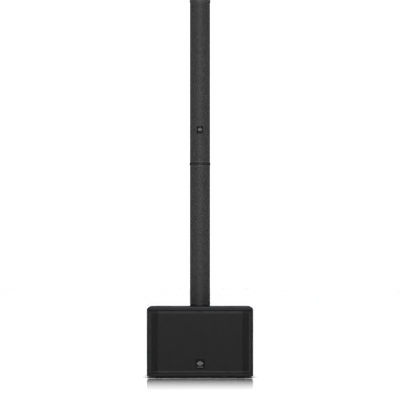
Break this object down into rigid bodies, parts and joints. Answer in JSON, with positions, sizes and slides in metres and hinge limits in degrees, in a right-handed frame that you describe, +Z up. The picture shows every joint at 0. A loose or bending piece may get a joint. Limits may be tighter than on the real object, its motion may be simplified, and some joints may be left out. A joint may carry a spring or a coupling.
{
  "type": "pa speaker",
  "caption": "Column loudspeaker: a wide bass cabinet with a faceted perforated grille, and two slim line-array columns stacked in a socket on its top.",
  "frame": {"origin": "on the floor, under the middle of the base unit, level with the bottoms of its feet", "axes": "+Z up along the columns, -Y out of the grilles, +X to the right seen from the front"},
  "size_m": [0.598, 0.46, 2.156],
  "materials": {
    "cabinet": "fine textured moulding, very slightly bluish black",
    "grille": "perforated steel, satin dark grey powder coat",
    "column_housing": "aluminium extrusion, satin black powder coat",
    "trim": "satin black moulding",
    "rubber_foot": "matt black rubber",
    "foam": "open-cell acoustic foam",
    "baffle": "black painted board",
    "cone": "coated paper cone with a rubber surround",
    "driver_frame": "pressed steel frame, black",
    "amp_panel": "satin black sheet",
    "heat_sink": "black anodised",
    "circuit": "green solder mask",
    "display": "glossy display window, unlit",
    "shaft": "bare metal",
    "badge": null
  },
  "bodies": {
    "base_unit": {"cabinet_shell": "cabinet", "front_baffle": "baffle", "front_grille": "grille", "grille_foam": "foam", "woofer_frame_left": "driver_frame", "woofer_frame_right": "driver_frame", "port_tube_upper": "trim", "port_tube_lower": "trim", "amp_panel": "amp_panel", "amp_heatsink": "heat_sink", "amp_circuit_board": "circuit", "display_window": "display", "combo_jack_a": "trim", "combo_jack_b": "trim", "link_jack_a": "trim", "link_jack_b": "trim", "mains_inlet": "trim", "column_socket": "trim", "handle_cup_left": "trim", "handle_cup_right": "trim", "foot_front_left": "rubber_foot", "foot_front_right": "rubber_foot", "foot_rear_left": "rubber_foot", "foot_rear_right": "rubber_foot", "front_badge": "badge"},
    "woofer_left": {"woofer_cone_left": "cone"},
    "woofer_right": {"woofer_cone_right": "cone"},
    "encoder_shaft": {"encoder_shaft": "shaft"},
    "encoder_knob": {"encoder_knob": "trim"},
    "menu_button": {"menu_button": "trim"},
    "select_button": {"select_button": "trim"},
    "back_button": {"back_button": "trim"},
    "gain_knob_a": {"gain_knob_a": "trim"},
    "gain_knob_b": {"gain_knob_b": "trim"},
    "power_rocker": {"power_rocker": "trim"},
    "lower_column": {"lower_column_housing": "column_housing", "lower_column_grille": "grille", "lower_column_base": "trim", "lower_column_collar": "trim", "lower_driver_1": "driver_frame", "lower_driver_2": "driver_frame", "lower_driver_3": "driver_frame", "lower_driver_4": "driver_frame", "lower_driver_5": "driver_frame", "lower_driver_6": "driver_frame", "lower_driver_7": "driver_frame", "lower_driver_8": "driver_frame"},
    "upper_column": {"upper_column_housing": "column_housing", "upper_column_grille": "grille", "upper_column_base": "trim", "upper_column_cap": "trim", "upper_column_badge": "badge", "tweeter_horn": "trim", "upper_driver_1": "driver_frame", "upper_driver_2": "driver_frame", "upper_driver_3": "driver_frame", "upper_driver_4": "driver_frame", "upper_driver_5": "driver_frame", "upper_driver_6": "driver_frame", "upper_driver_7": "driver_frame"}
  },
  "joints": [
    {"name": "lower_column_lift", "type": "slide", "parent": "base_unit", "child": "lower_column", "axis": [0, 0, 1], "range_m": [0, 0.1]},
    {"name": "upper_column_lift", "type": "slide", "parent": "lower_column", "child": "upper_column", "axis": [0, 0, 1], "range_m": [0, 0.08]},
    {"name": "woofer_left_excursion", "type": "slide", "parent": "base_unit", "child": "woofer_left", "axis": [0, -1, 0], "range_m": [-0.008, 0.008], "stiffness_N_per_m": 3000},
    {"name": "woofer_right_excursion", "type": "slide", "parent": "base_unit", "child": "woofer_right", "axis": [0, -1, 0], "range_m": [-0.008, 0.008], "stiffness_N_per_m": 3000},
    {"name": "encoder_push", "type": "slide", "parent": "base_unit", "child": "encoder_shaft", "axis": [0, -1, 0], "range_m": [0, 0.0008], "stiffness_N_per_m": 1500, "springref_m": -0.0015},
    {"name": "encoder_turn", "type": "hinge", "parent": "encoder_shaft", "child": "encoder_knob", "pos_m": [0.022, 0.208, 0.19], "axis": [0, 1, 0], "continuous": true},
    {"name": "menu_press", "type": "slide", "parent": "base_unit", "child": "menu_button", "axis": [0, -1, 0], "range_m": [0, 0.0012], "stiffness_N_per_m": 1000, "springref_m": -0.0015},
    {"name": "select_press", "type": "slide", "parent": "base_unit", "child": "select_button", "axis": [0, -1, 0], "range_m": [0, 0.0012], "stiffness_N_per_m": 1000, "springref_m": -0.0015},
    {"name": "back_press", "type": "slide", "parent": "base_unit", "child": "back_button", "axis": [0, -1, 0], "range_m": [0, 0.0012], "stiffness_N_per_m": 1000, "springref_m": -0.0015},
    {"name": "gain_a_turn", "type": "hinge", "parent": "base_unit", "child": "gain_knob_a", "pos_m": [-0.035, 0.208, 0.19], "axis": [0, 1, 0], "range_deg": [-150, 150]},
    {"name": "gain_b_turn", "type": "hinge", "parent": "base_unit", "child": "gain_knob_b", "pos_m": [-0.085, 0.208, 0.19], "axis": [0, 1, 0], "range_deg": [-150, 150]},
    {"name": "power_switch", "type": "hinge", "parent": "base_unit", "child": "power_rocker", "pos_m": [0.03, 0.2075, 0.092], "axis": [1, 0, 0], "range_deg": [0, 16]}
  ]
}
